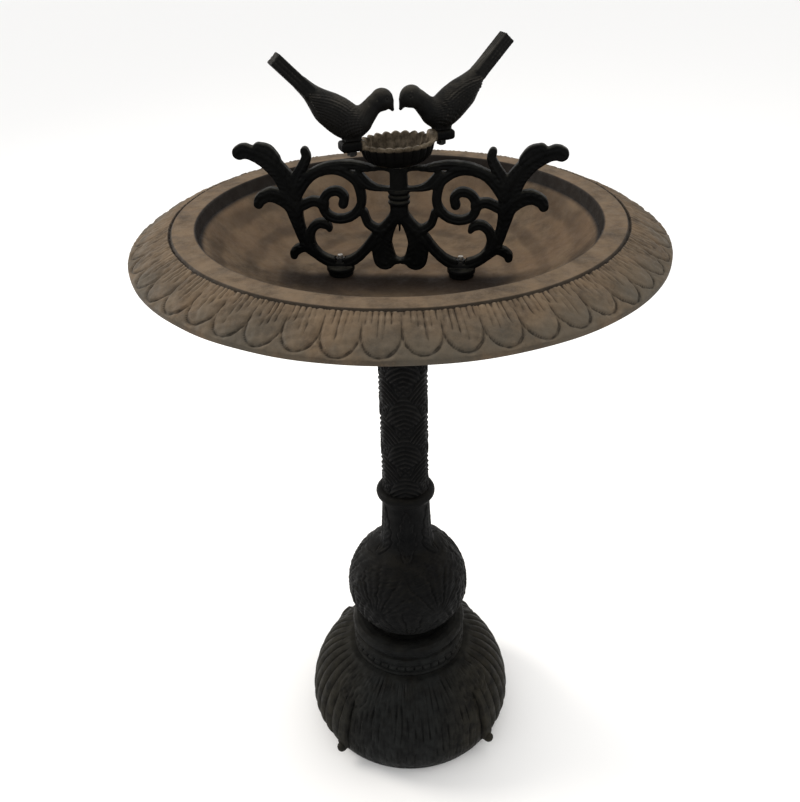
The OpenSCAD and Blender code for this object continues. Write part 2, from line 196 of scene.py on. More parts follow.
def turned(rows, columns, relief):
    """A closed ring-shaped mesh: closed rows of (radius, height) turned about Z.

    The rows run upwards on the outside. relief(radius, height, angle) gives how far each point is
    pushed out along the surface.
    """
    tangent = np.roll(rows, -1, 0) - np.roll(rows, 1, 0)
    tangent /= np.maximum(np.linalg.norm(tangent, axis=1), 1e-9)[:, None]
    angle = np.arange(columns) * TURN / columns
    radius = rows[:, 0][:, None] + 0 * angle
    height = rows[:, 1][:, None] + 0 * angle
    push = relief(radius, height, angle[None, :] + 0 * radius)
    radius = radius + push * tangent[:, 1][:, None]
    height = height - push * tangent[:, 0][:, None]
    vertices = np.stack([radius * np.cos(angle), radius * np.sin(angle), height], -1).reshape(-1, 3)
    return vertices, ring_faces(len(rows), columns)


def turned_about(vertices, angle):
    """Vertices turned about Z by an angle in radians."""
    c = math.cos(angle)
    s = math.sin(angle)
    return vertices @ np.array([[c, s, 0], [-s, c, 0], [0, 0, 1]])


def merged(pieces):
    """One list of vertices and faces from several."""
    vertices = []
    faces = []
    start = 0
    for points, polygons in pieces:
        vertices.append(points)
        faces.extend([[int(i) + start for i in face] for face in polygons])
        start += len(points)
    return np.vstack(vertices), faces


def smooth_path(limb, steps):
    """Points along a spline through rows of (x, height, half width)."""
    points = np.array(limb, float)
    points = np.vstack([points[0], points, points[-1]])
    path = []
    for i in range(1, len(points) - 2):
        a, b, c, d = points[i - 1:i + 3]
        for t in np.arange(steps) / steps:
            path.append(0.5 * (2 * b + (c - a) * t + (2 * a - 5 * b + 4 * c - d) * t ** 2
                               + (3 * b - a - 3 * c + d) * t ** 3))
    path.append(points[-1])
    return np.array(path)


def along_limb(path, x, z):
    """For each point of a plane: its distance from the path, the half width there, and how far along."""
    best = np.full(x.shape, 1e9)
    across = np.zeros(x.shape)
    width = np.ones(x.shape)
    run = np.zeros(x.shape)
    travelled = 0.0
    for a, b in zip(path[:-1], path[1:]):
        step = b[:2] - a[:2]
        length = math.hypot(*step)
        if length < 1e-6:
            continue
        t = np.clip(((x - a[0]) * step[0] + (z - a[1]) * step[1]) / length ** 2, 0, 1)
        dx = x - a[0] - t * step[0]
        dz = z - a[1] - t * step[1]
        local = a[2] + t * (b[2] - a[2])
        distance = np.hypot(dx, dz)
        nearer = distance - local < best
        side = np.sign(dx * step[1] - dz * step[0])
        best = np.where(nearer, distance - local, best)
        across = np.where(nearer, side * distance, across)
        width = np.where(nearer, local, width)
        run = np.where(nearer, travelled + t * length, run)
        travelled += length
    return across, width, run


def carved(field, corner, voxel):
    """Vertices and quads on the zero surface of a distance field."""
    grid = openvdb.FloatGrid(10.0)
    grid.copyFromArray(np.ascontiguousarray(field, dtype=np.float32))
    points, _, quads = grid.convertToPolygons(isovalue=0.0, adaptivity=0.0)
    return points * voxel + np.array(corner), quads[:, ::-1]


# -------- materials


def shader_nodes(name):
    """A new material, its node tree and its principled shader."""
    material = bpy.data.materials.new(name)
    material.use_nodes = True
    tree = material.node_tree
    return material, tree, tree.nodes["Principled BSDF"]


class Nodes:
    """Short calls for the shader nodes that the materials share."""

    def __init__(self, tree):
        self.tree = tree
        coordinates = self.add("ShaderNodeTexCoord")
        self.where = coordinates.outputs["Object"]
        self.own_normal = coordinates.outputs["Normal"]
        geometry = self.add("ShaderNodeNewGeometry")
        self.normal = geometry.outputs["Normal"]
        self.pointiness = geometry.outputs["Pointiness"]

    def add(self, kind, inputs=None, **properties):
        """A new node; inputs has a number, a tuple or another node's socket for each input it names."""
        node = self.tree.nodes.new(kind)
        for key, value in properties.items():
            setattr(node, key, value)
        for key, value in (inputs or {}).items():
            socket = node.inputs[key]
            if isinstance(value, tuple) and socket.type == "RGBA":
                socket.default_value = (*value, 1)
            elif isinstance(value, (int, float, tuple)):
                socket.default_value = value
            else:
                self.link(value, socket)
        return node

    def link(self, source, target):
        """Joins one node's output to another's input."""
        self.tree.links.new(source, target)

    def noise(self, scale, detail=4.0, roughness=0.6):
        """Noise of about that many cells a metre."""
        inputs = {"Vector": self.where, "Scale": scale, "Detail": detail, "Roughness": roughness}
        return self.add("ShaderNodeTexNoise", inputs).outputs["Fac"]

    def ramp(self, source, low_edge, high_edge, low_value=0.0, high_value=1.0):
        """Smooth step from low_value at low_edge to high_value at high_edge."""
        inputs = {"Value": source, "From Min": low_edge, "From Max": high_edge,
                  "To Min": low_value, "To Max": high_value}
        return self.add("ShaderNodeMapRange", inputs, interpolation_type="SMOOTHSTEP").outputs["Result"]

    def band(self, source, start, full, fade, stop):
        """1 from full to fade, easing to 0 at start and at stop."""
        return self.times(self.ramp(source, start, full), self.ramp(source, stop, fade))

    def math(self, operation, a, b=0.0):
        """One operation on sockets or numbers."""
        return self.add("ShaderNodeMath", {0: a, 1: b}, operation=operation).outputs[0]

    def times(self, product, *factors):
        """The product of sockets and numbers."""
        for factor in factors:
            product = self.math("MULTIPLY", product, factor)
        return product

    def vector_math(self, operation, *values):
        """The outputs, Vector and Value, of one operation on vector sockets or (x, y, z) numbers."""
        return self.add("ShaderNodeVectorMath", dict(enumerate(values)), operation=operation).outputs

    def axes(self, vector):
        """The X, Y and Z of a vector."""
        return self.add("ShaderNodeSeparateXYZ", {0: vector}).outputs

    def mix(self, factor, a, b, blend_type="MIX"):
        """Colour a with that much of colour b over it."""
        inputs = {0: factor, 6: a, 7: b}
        return self.add("ShaderNodeMix", inputs, data_type="RGBA", blend_type=blend_type).outputs[2]

    def bump(self, height, distance, strength, under=None):
        """A normal with small relief, laid over another normal if one is given."""
        inputs = {"Height": height, "Distance": distance, "Strength": strength}
        if under:
            inputs["Normal"] = under
        return self.add("ShaderNodeBump", inputs).outputs["Normal"]


def cast_iron(name, dark, light, dust_and_light, dust_and_light_amount, edge, edge_amount, rough=(0.45, 0.7), shine=0.3,
              marks=None):
    """Cast iron: mottled paint or rust, dust on upward faces that also serves as painted top light, worn
    edges, painted shade in the hollows and a sandy grain.

    marks(nodes, colour) adds what only one casting has.
    """
    material, tree, shader = shader_nodes(name)
    n = Nodes(tree)
    mottle = n.ramp(n.noise(26, 6, 0.65), 0.35, 0.68)
    specks = n.ramp(n.noise(420, 3, 0.7), 0.45, 0.75)
    colour = n.mix(mottle, dark, light)
    colour = n.mix(n.times(specks, 0.4), colour, light)
    # Partly dust, partly painted top light: upward faces take a much lighter colour.
    faces_up = n.ramp(n.axes(n.normal)["Z"], 0.15, 0.95)
    patches = n.ramp(n.noise(60, 5, 0.7), 0.3, 0.7)
    colour = n.mix(n.times(faces_up, patches, dust_and_light_amount), colour, dust_and_light)
    proud = n.ramp(n.pointiness, 0.51, 0.56)
    rubbed = n.ramp(n.noise(150, 4), 0.3, 0.6)
    colour = n.mix(n.times(proud, rubbed, edge_amount), colour, edge)
    if marks:
        colour = marks(n, colour)
    # Painted shade: colour darkened in hollows, where less light reaches.
    hollow = n.ramp(n.pointiness, 0.44, 0.495, 0.35, 1.0)
    n.link(n.mix(1.0, colour, hollow, "MULTIPLY"), shader.inputs["Base Color"])
    n.link(n.ramp(n.noise(90, 5), 0.3, 0.7, *rough), shader.inputs["Roughness"])
    shader.inputs["Metallic"].default_value = 0.0
    shader.inputs["Specular IOR Level"].default_value = shine
    sand = n.bump(n.noise(900, 3, 0.6), 0.0004, 0.55)
    cast = n.bump(n.noise(130, 4, 0.6), 0.0011, 0.5, sand)
    n.link(cast, shader.inputs["Normal"])
    return material


def bowl_bands(n, colour):
    """Rings of dried water and rust inside the bowl, a painted shadow in front of the frame, painted shade
    on the mouth's wall, and a darker line along the groove.
    """
    rust = (0.105, 0.064, 0.036)
    ring_brown = (0.032, 0.021, 0.013)
    frame_shadow_brown = (0.010, 0.006, 0.004)
    mouth_wall_shade = (0.008, 0.006, 0.005)
    groove_darkening = (0.010, 0.008, 0.006)
    border_grey = (0.060, 0.054, 0.042)
    x, y, _ = n.axes(n.where)
    radius = n.math("SQRT", n.math("ADD", n.math("POWER", x, 2.0), n.math("POWER", y, 2.0)))
    wobble = n.times(n.math("SUBTRACT", n.noise(9, 3), 0.5), 0.05)
    inside = n.math("SUBTRACT", 1.0, n.ramp(radius, (MOUTH_RADIUS - 9) * MM, (MOUTH_RADIUS + 3) * MM))
    warm = n.times(n.ramp(n.noise(14, 4), 0.4, 0.65), inside)
    colour = n.mix(n.times(warm, 0.5), colour, rust)
    rings = n.math("SINE", n.times(n.math("ADD", radius, wobble), 190.0))
    come_and_go = n.ramp(n.noise(11, 3), 0.35, 0.6)
    dark_ring = n.times(n.ramp(rings, -0.2, 0.9), inside, come_and_go)
    colour = n.mix(n.times(dark_ring, 0.55), colour, ring_brown)
    # Painted shadow of the frame on the bowl's floor, in front of its feet.
    forward = n.math("ADD", y, n.times(wobble, 0.25))
    frame_shadow = n.times(n.band(forward, -0.075, -0.020, -0.010, 0.008), n.ramp(radius, 0.140, 0.090))
    colour = n.mix(n.times(frame_shadow, 0.94), colour, frame_shadow_brown)
    # Painted shade on the mouth's undercut wall.
    wall = n.band(radius, *(MM * (MOUTH_RADIUS + offset) for offset in (-7, -3, 0.5, 2.5)))
    colour = n.mix(n.times(wall, 0.96), colour, mouth_wall_shade)
    # Darker along the groove.
    groove = n.band(radius, *(MM * (GROOVE_RADIUS + offset) for offset in (-2.4, -1.2, 1.2, 2.6)))
    colour = n.mix(n.times(groove, 0.8), colour, groove_darkening)
    outward = n.ramp(radius, GROOVE_RADIUS * MM, BASIN_RADIUS * MM)
    weathered = n.times(outward, n.ramp(n.noise(20, 5), 0.3, 0.6))
    return n.mix(n.times(weathered, 0.7), colour, border_grey)


def dusty_foot(n, colour):
    """Splashed dust that thickens towards the ground, lighter and warmer away from the front as painted
    side light.
    """
    shaded_front_dust = (0.0135, 0.0145, 0.0140)
    lit_side_dust = (0.0230, 0.0205, 0.0145)
    x, _, z = n.axes(n.where)
    lowness = n.ramp(z, 0.24, 0.09)
    grain = n.ramp(n.noise(70, 6, 0.7), 0.25, 0.7)
    # Painted side light: the dust is lighter and warmer at the sides than at the front.
    side_light = n.ramp(n.math("ABSOLUTE", x), 0.03, 0.10)
    dust_and_light = n.mix(side_light, shaded_front_dust, lit_side_dust)
    return n.mix(n.times(lowness, grain, 0.8), colour, dust_and_light)


def bronze_inside(n, colour):
    """Bare brown metal on the cup's lip and inside it; the outside keeps its dark paint."""
    dark_bronze = (0.055, 0.043, 0.029)
    light_bronze = (0.15, 0.12, 0.085)
    flat = n.vector_math("MULTIPLY", n.where, (1, 1, 0))["Vector"]
    facing = n.vector_math("DOT_PRODUCT", flat, n.own_normal)["Value"]
    inward = n.ramp(facing, 0.0, -0.004)
    lip = n.ramp(n.axes(n.where)["Z"], (PERCH_TOP - 9) * MM, (PERCH_TOP - 7) * MM)
    radius = n.vector_math("LENGTH", flat)["Value"]
    near = n.ramp(radius, (CUP_HALF_LENGTH + 2) * MM, CUP_HALF_LENGTH * MM)
    bare = n.times(n.math("MAXIMUM", inward, lip), near)
    bronze = n.mix(n.ramp(n.noise(160, 5), 0.35, 0.7), dark_bronze, light_bronze)
    return n.mix(bare, colour, bronze)


BASIN_IRON = cast_iron(
    "basin_iron", dark=(0.044, 0.031, 0.020), light=(0.125, 0.084, 0.050),
    dust_and_light=(0.150, 0.108, 0.068), dust_and_light_amount=0.5, edge=(0.190, 0.145, 0.100), edge_amount=0.5,
    rough=(0.62, 0.85), shine=0.15, marks=bowl_bands)
PEDESTAL_IRON = cast_iron(
    "pedestal_iron", dark=(0.0016, 0.0017, 0.0019), light=(0.0042, 0.0042, 0.0042),
    dust_and_light=(0.018, 0.016, 0.012), dust_and_light_amount=0.35, edge=(0.022, 0.020, 0.017), edge_amount=0.35,
    shine=0.05, marks=dusty_foot)
FRAME_IRON = cast_iron(
    "frame_iron", dark=(0.0014, 0.0016, 0.0017), light=(0.0040, 0.0041, 0.0038),
    dust_and_light=(0.050, 0.046, 0.034), dust_and_light_amount=0.5, edge=(0.040, 0.038, 0.030), edge_amount=0.4,
    rough=(0.4, 0.65), shine=0.06)
CUP_IRON = cast_iron(
    "cup_iron", dark=(0.0012, 0.0013, 0.0013), light=(0.0034, 0.0033, 0.0030),
    dust_and_light=(0.020, 0.017, 0.012), dust_and_light_amount=0.3, edge=(0.035, 0.030, 0.022), edge_amount=0.5,
    rough=(0.4, 0.65), shine=0.05, marks=bronze_inside)
BIRD_IRON = cast_iron(
    "bird_iron", dark=(0.0022, 0.0023, 0.0023), light=(0.0065, 0.0062, 0.0055),
    dust_and_light=(0.055, 0.048, 0.037), dust_and_light_amount=0.6, edge=(0.050, 0.045, 0.036), edge_amount=0.45,
    rough=(0.42, 0.65), shine=0.08)


def dull_steel():
    """Zinc-plated steel gone dull, for bolts, nuts, washers and the rod."""
    material, tree, shader = shader_nodes("fastener_steel")
    n = Nodes(tree)
    tarnish = n.ramp(n.noise(350, 5), 0.35, 0.65)
    colour = n.mix(tarnish, (0.42, 0.41, 0.39), (0.20, 0.18, 0.15))
    rust = n.ramp(n.noise(700, 4), 0.62, 0.75)
    n.link(n.mix(n.times(rust, 0.6), colour, (0.12, 0.05, 0.02)), shader.inputs["Base Color"])
    n.link(n.ramp(tarnish, 0.0, 1.0, 0.3, 0.6), shader.inputs["Roughness"])
    shader.inputs["Metallic"].default_value = 0.9
    n.link(n.bump(n.noise(1500, 3), 0.0002, 0.4), shader.inputs["Normal"])
    return material


def seal_rubber():
    """Black rubber with a chalky bloom."""
    material, tree, shader = shader_nodes("seal_rubber")
    n = Nodes(tree)
    bloom = n.ramp(n.noise(300, 4), 0.4, 0.7)
    n.link(n.mix(bloom, (0.012, 0.012, 0.012), (0.045, 0.045, 0.044)), shader.inputs["Base Color"])
    n.link(n.ramp(bloom, 0.0, 1.0, 0.6, 0.85), shader.inputs["Roughness"])
    n.link(n.bump(n.noise(1200, 3), 0.0002, 0.3), shader.inputs["Normal"])
    return material


def blackened_steel():
    """Steel that was painted over with the casting, worn back to metal in small spots."""
    material, tree, shader = shader_nodes("blackened_steel")
    n = Nodes(tree)
    worn = n.ramp(n.noise(500, 4), 0.58, 0.72)
    n.link(n.mix(worn, (0.010, 0.010, 0.010), (0.14, 0.12, 0.09)), shader.inputs["Base Color"])
    n.link(n.ramp(worn, 0.0, 1.0, 0.55, 0.4), shader.inputs["Roughness"])
    shader.inputs["Specular IOR Level"].default_value = 0.2
    n.link(n.bump(n.noise(1400, 3), 0.0002, 0.4), shader.inputs["Normal"])
    return material


STEEL = dull_steel()
BLACK_STEEL = blackened_steel()
RUBBER = seal_rubber()


# -------- basin

PETALS = 48
FLAT_RADIUS = 80.0
EDGE_DROP = 22.0
BASIN_WALL = 6.0
SOCKET_RADIUS = COLUMN_RADIUS + 8


def bowl_height(radius):
    """Height of the bowl's inner face, a flat floor and then an arc."""
    run = MOUTH_RADIUS - 4 - FLAT_RADIUS
    rise = BASIN_HEIGHT - 12 - FLOOR_HEIGHT
    arc = (run * run + rise * rise) / (2 * rise)
    return FLOOR_HEIGHT + arc - math.sqrt(arc * arc - max(0, radius - FLAT_RADIUS) ** 2)


def petal_slits(index, side, out, petal_width):
    """Depth of the uneven cuts that run out from the groove along each petal, shorter towards its sides."""
    slits = 6
    total = 0.0
    for k in range(slits):
        shift = (k + 0.5) / slits - 0.5 + 0.05 * (jitter(index, 3 + k) - 0.5)
        reach = 0.74 - 1.05 * abs(shift) + 0.3 * (jitter(index, 11 + k) - 0.5)
        lean = 0.10 * (jitter(index, 19 + k) - 0.5) * (out - 0.3)
        window = ease(0.0, 0.06, out) * (1 - ease(reach - 0.14, reach, out))
        depth = 0.7 + 1.3 * jitter(index, 31 + k)
        total = total + depth * ridge((side * 0.92 - shift * 0.92 - lean) * petal_width, 0.7) * window
    return total


def petal_relief(radius, height, angle):
    """Petals on the sloping border: rounded outer ends, an outline groove, slits, and plain spandrels."""
    number = (angle - FRONT) * PETALS / TURN + 0.5
    side = cell(number)
    index = np.round(number)
    out = (radius - GROOVE_RADIUS) / (BASIN_RADIUS - GROOVE_RADIUS)
    petal_width = TURN * radius / PETALS
    round_from = 0.44 + 0.06 * (jitter(index, 1) - 0.5)
    past = np.clip((out - round_from) / 0.49, 0, 2)
    ellipse = np.hypot(side / 0.492, past)
    inside = (1 - ellipse) * petal_width * 0.5
    crown = 1.7 * np.sqrt(np.clip(1 - ellipse ** 2, 0, 1)) * ease(0.02, 0.5, out)
    spandrel = 0.7 * ease(0.8, 2.4, -inside)
    outline_cut = (0.7 + 0.8 * ease(0.25, 0.6, out)) * ridge(inside, 0.8)
    rough = 0.28 * waves(radius * np.cos(angle), radius * np.sin(angle), 33, 12, scale=7.0)
    relief = np.where(inside > 0, crown, spandrel) - outline_cut + rough
    relief = relief - petal_slits(index, side, out, petal_width)
    on_border = (out > 0) & (out < 1.01) & (height > BASIN_HEIGHT - EDGE_DROP - 1)
    return np.where(on_border, relief * (1 - ease(0.965, 1.0, out)), 0.0)


def basin_relief(radius, height, angle):
    """Petals on the border, over the slight unevenness of a sand casting."""
    uneven = 0.12 * waves(radius * np.cos(angle), radius * np.sin(angle), 4, scale=60.0)
    return petal_relief(radius, height, angle) + uneven


def build_basin():
    """Bowl with a flat band, a groove, a sloping petal border and the column's socket underneath."""
    bowl_end = MOUTH_RADIUS - 4
    under = FLOOR_HEIGHT - BASIN_WALL
    edge = BASIN_HEIGHT - EDGE_DROP
    rim_radius = BASIN_RADIUS - 0.3
    bore = COLUMN_RADIUS + 0.4
    drain = 0.6
    radii = np.linspace(bowl_end, FLAT_RADIUS, 9)
    plain = 14
    inside = [(r, bowl_height(r), plain) for r in radii]
    outside = [(r + BASIN_WALL * 0.6, bowl_height(r) - BASIN_WALL, plain) for r in radii[::-1]]
    corners = [
        *outside,
        (GROOVE_RADIUS, BASIN_HEIGHT - BASIN_WALL - 1, plain),
        (BASIN_RADIUS - 4, edge - 5, 2),
        (rim_radius, edge - 4, 2),
        (rim_radius, edge, 1),
        (BASIN_RADIUS - 3, edge + 2, 1.3),
        (GROOVE_RADIUS + 1.7, BASIN_HEIGHT - 0.6, 1),
        (GROOVE_RADIUS + 0.3, BASIN_HEIGHT - 3.2, 1),
        (GROOVE_RADIUS - 1.6, BASIN_HEIGHT, plain),
        (MOUTH_RADIUS + 1, BASIN_HEIGHT, plain),
        (MOUTH_RADIUS, BASIN_HEIGHT - 1, plain),
        (MOUTH_RADIUS - 2, BASIN_HEIGHT - 12, plain),
        *inside,
        (drain, FLOOR_HEIGHT, plain),
        (drain, under + 2, plain),
        (bore, under + 2, plain),
        (bore, BASIN_BOTTOM, plain),
        (SOCKET_RADIUS, BASIN_BOTTOM, plain),
        (SOCKET_RADIUS, under - 4, plain),
        (SOCKET_RADIUS + 6, under, plain),
    ]
    shape = turned(outline(corners, 0.8), PETALS * 24, basin_relief)
    place("basin_casting", shape, BASIN_IRON, "basin_unit", "basin")


# -------- column

TILES_ROUND = 3
TILE_HEIGHT = 50.0
ARCH_PITCH = 5.6


def column_relief(radius, height, angle):
    """Overlapping tiles of nested arches, like the trunk of a palm."""
    tile_width = TURN * COLUMN_RADIUS / TILES_ROUND
    x = (angle - FRONT) * COLUMN_RADIUS
    best = np.full(x.shape, 9.0)
    arches = np.zeros(x.shape)
    for shift in (0.0, 0.5):
        dx = cell(x / tile_width - shift) * tile_width
        bent = height - KNOP_TOP - 9 + dx ** 2 / 38.0
        dz = cell(bent / TILE_HEIGHT - shift) * TILE_HEIGHT
        measure = np.abs(dx) / (tile_width * 0.5) + np.abs(dz) / (TILE_HEIGHT * 0.5)
        peaked = dz + 0.42 * np.abs(dx) * (0.5 - dz / TILE_HEIGHT)
        nearer = measure < best
        best = np.where(nearer, measure, best)
        arches = np.where(nearer, np.cos(peaked * TURN / ARCH_PITCH), arches)
    rim = ridge((1 - best) * tile_width * 0.35, 1.3)
    wander = 0.2 * waves(x, height, 12, scale=14.0)
    relief = 0.8 * arches * (1 - rim) - 1.1 * rim + wander - 0.5
    below_band = 1 - ease(COLUMN_TOP - 32, COLUMN_TOP - 29, height)
    patterned = ease(KNOP_TOP - 1, KNOP_TOP + 2, height) * below_band
    return np.where(radius > COLUMN_RADIUS - 1.5, relief * patterned, 0.0)


def build_column():
    """A tube with a spigot below and a ledge for the tie rod's washer near the top."""
    bore = 17
    counterbore = 20
    rod_hole = 5.5
    spigot_bottom = KNOP_TOP - 26
    ledge_top = COLUMN_TOP - 24
    ledge_bottom = COLUMN_TOP - 30
    corners = [
        (SPIGOT_RADIUS, spigot_bottom, 6),
        (SPIGOT_RADIUS, KNOP_TOP, 2),
        (COLUMN_RADIUS, KNOP_TOP, 1.15),
        (COLUMN_RADIUS, COLUMN_TOP, 3),
        (counterbore, COLUMN_TOP, 10),
        (counterbore, ledge_top, 6),
        (rod_hole, ledge_top, 3),
        (rod_hole, ledge_bottom, 6),
        (bore, ledge_bottom, 20),
        (bore, spigot_bottom, 3),
    ]
    shape = turned(outline(corners, 0.6), 256, column_relief)
    place("column_casting", shape, PEDESTAL_IRON, "pedestal", "column")


# -------- knop ring, bulb and collar


def ring_relief(radius, height, angle):
    """The slight unevenness of a sand casting."""
    return 0.12 * waves(angle * radius, height * 2, 7, scale=16.0)


def build_knop_ring():
    """A ring with a half-round outside, on the column's spigot."""
    middle = (KNOP_BOTTOM + KNOP_TOP) / 2
    reach = 6.2
    half_height = 5.95
    bore = SPIGOT_RADIUS + 0.1
    start = high("knop_ring")[0] - reach
    arc = [(start + reach * math.cos(a), middle + half_height * math.sin(a), 1.0)
           for a in np.linspace(-math.pi / 2, math.pi / 2, 13)]
    corners = [(bore, KNOP_BOTTOM, 2), *arc, (bore, KNOP_TOP, 2)]
    shape = turned(outline(corners, 0.5), 160, ring_relief)
    place("knop_casting", shape, PEDESTAL_IRON, "pedestal", "knop_ring")


def acanthus(x, z, length, half_width, lobes=5):
    """Height of an acanthus leaf with its foot at z = 0, its midrib on x = 0 and a pointed tip."""
    t = np.clip(z / length, 0, 1)
    blade = np.sin(math.pi * t ** 0.62) ** 0.75
    lean = np.abs(x) / half_width
    notch = 0.5 + 0.5 * np.cos(TURN * (t * lobes - lean * 0.55))
    width = half_width * blade * (1 - 0.26 * notch)
    inside = width - np.abs(x)
    body = ease(-0.2, 1.6, inside) * (z > 0) * (z < length)
    veins = np.cos(TURN * (t * lobes * 2 - lean * 1.5)) * ease(0.8, 2.5, np.abs(x))
    midrib = ridge(x, 1.1)
    outline_groove = ridge(inside + 0.8, 0.9) * (z > -1) * (z < length + 1)
    return body * (1.1 + 0.55 * veins + 0.6 * midrib) - 1.1 * outline_groove


def bulb_relief(radius, height, angle):
    """Shallow fans of veins spreading up from low centres, a plain foot, and leaves cut into the neck."""
    sector = TURN / 6
    climb = np.arctan2(height - BULB_CENTRE, np.maximum(radius, 1)) * BULB_RADIUS
    around = np.clip(radius, 20, BULB_RADIUS)
    relief = 0.3 * waves(angle * around, climb, 5, scale=8.0) - 0.9
    for shift, foot, strength in ((0.0, -48.0, 1.0), (0.5, -4.0, 0.7)):
        x = cell((angle - FRONT) / sector - shift) * sector * around
        up = climb - foot
        spread = np.arctan2(x, up) + 0.03 * waves(angle * around, climb, 14, scale=22.0)
        reach = np.hypot(x, up)
        fan = ease(5, 14, reach) * ease(1.5, 1.1, np.abs(spread)) * ease(74, 46, reach)
        veins = 0.5 * np.cos(spread * 30)
        strokes = -1.3 * ridge(cell(spread * 2.2 + 0.25), 0.07)
        relief = relief + strength * fan * (veins + strokes)
    leaf_foot = BULB_CENTRE + 58
    leaf_height = 62.0
    x = cell((angle - FRONT) / sector) * sector * radius
    neck = acanthus(x, height - leaf_foot, leaf_height, 12.5, 4) * 0.55 - 1.2
    on_neck = ease(leaf_foot - 2, leaf_foot + 2, height) * (radius < 50)
    relief = relief * (1 - on_neck) + np.minimum(neck, 0.3) * on_neck
    above_foot = ease(BULB_FOOT + 12, BULB_FOOT + 17, height)
    below_knop = ease(KNOP_BOTTOM - 1, KNOP_BOTTOM - 5, height)
    return np.where(radius > 26, relief * (above_foot * below_knop), 0.0)


def build_bulb():
    """A hollow bulb with its long neck, open below for the rod and above for the spigot."""
    neck_radius = 30.5
    rod_hole = 5.6
    bore = SPIGOT_RADIUS + 0.1
    neck_bottom = BULB_CENTRE + math.sqrt(BULB_RADIUS ** 2 - neck_radius ** 2)
    low_angle = math.asin((BULB_FOOT - BULB_CENTRE) / BULB_LOWER_DEPTH)
    high_angle = math.acos((neck_radius + 2) / BULB_RADIUS)
    skin = []
    for a in np.linspace(low_angle, high_angle, 19):
        depth = BULB_LOWER_DEPTH if a < 0 else BULB_RADIUS
        skin.append((BULB_RADIUS * math.cos(a), BULB_CENTRE + depth * math.sin(a), 1.0))
    corners = [
        (rod_hole, BULB_FOOT, 8),
        *skin,
        (neck_radius, neck_bottom + 3, 1.0),
        (29.2, neck_bottom + 26, 1.0),
        (27.5, KNOP_BOTTOM, 2),
        (bore, KNOP_BOTTOM, 12),
        (bore, BULB_CENTRE + 50, 12),
        (45, BULB_CENTRE + 40, 12),
        (62, BULB_CENTRE, 12),
        (40, BULB_FOOT + 12, 8),
        (rod_hole, BULB_FOOT + 7, 3),
    ]
    shape = turned(outline(corners, 0.5), 440, bulb_relief)
    place("bulb_casting", shape, PEDESTAL_IRON, "pedestal", "bulb")


def collar_relief(radius, height, angle):
    """A row of long beads round the collar's drum."""
    beads = 40
    side = cell((angle - FRONT) * beads / TURN)
    rise = (height - BASE_HEIGHT - 9.5) / 3.0
    bead = np.sqrt(np.clip(1 - (side / 0.455) ** 4 - rise ** 4, 0, 1))
    on_drum = (radius > 62) & (height < BASE_HEIGHT + 14) & (height > BASE_HEIGHT + 3)
    return np.where(on_drum, 2.4 * bead - 0.6, 0.0) + 0.14 * waves(angle * radius, height, 9, scale=9.0)


def build_collar():
    """A drum with a flat moulding, a round rim above a groove, and a dish that the bulb stands in."""
    rod_hole = 5.6
    drum = [(66.8, 0), (66.8, 2), (65.2, 3), (65.2, 14), (66.8, 16), (66.8, 21), (65, 23)]
    groove = [(62, 24), (61.5, 28)]
    rim = [(65, 29.5), (67, 32), (67.6, 35), (66.6, 38.3), (63, 41), (58, 41.7)]
    dish = [(51, 40.2), (45, 36.7), (41, 33.7), (32, 33), (33, BULB_FOOT - BASE_HEIGHT)]
    skin = [(radius, BASE_HEIGHT + rise, 1.0) for radius, rise in drum + groove + rim + dish]
    corners = [(rod_hole, BASE_HEIGHT, 12), *skin, (rod_hole, BULB_FOOT, 10)]
    shape = turned(outline(corners, 0.7), 560, collar_relief)
    place("collar_casting", shape, PEDESTAL_IRON, "pedestal", "base_collar")


# -------- base

BASE_RADIUS = 124.0
FOOT_RADIUS = 112.0
TOP_RADIUS = 66.0
BULGE_HEIGHT = 30.0
SHOULDER_FULLNESS = 1.9
RIBS = 4
NUB_HEIGHT = 20.0


def bell_radius(height):
    """Radius of the bell at a height: a parabola below the bulge, a full shoulder above it."""
    if height < BULGE_HEIGHT:
        return BASE_RADIUS - (BASE_RADIUS - FOOT_RADIUS) * (1 - height / BULGE_HEIGHT) ** 2
    share = (height - BULGE_HEIGHT) / (BASE_HEIGHT - BULGE_HEIGHT)
    return TOP_RADIUS + (BASE_RADIUS - TOP_RADIUS) * math.sqrt(max(0.0, 1 - share ** SHOULDER_FULLNESS))


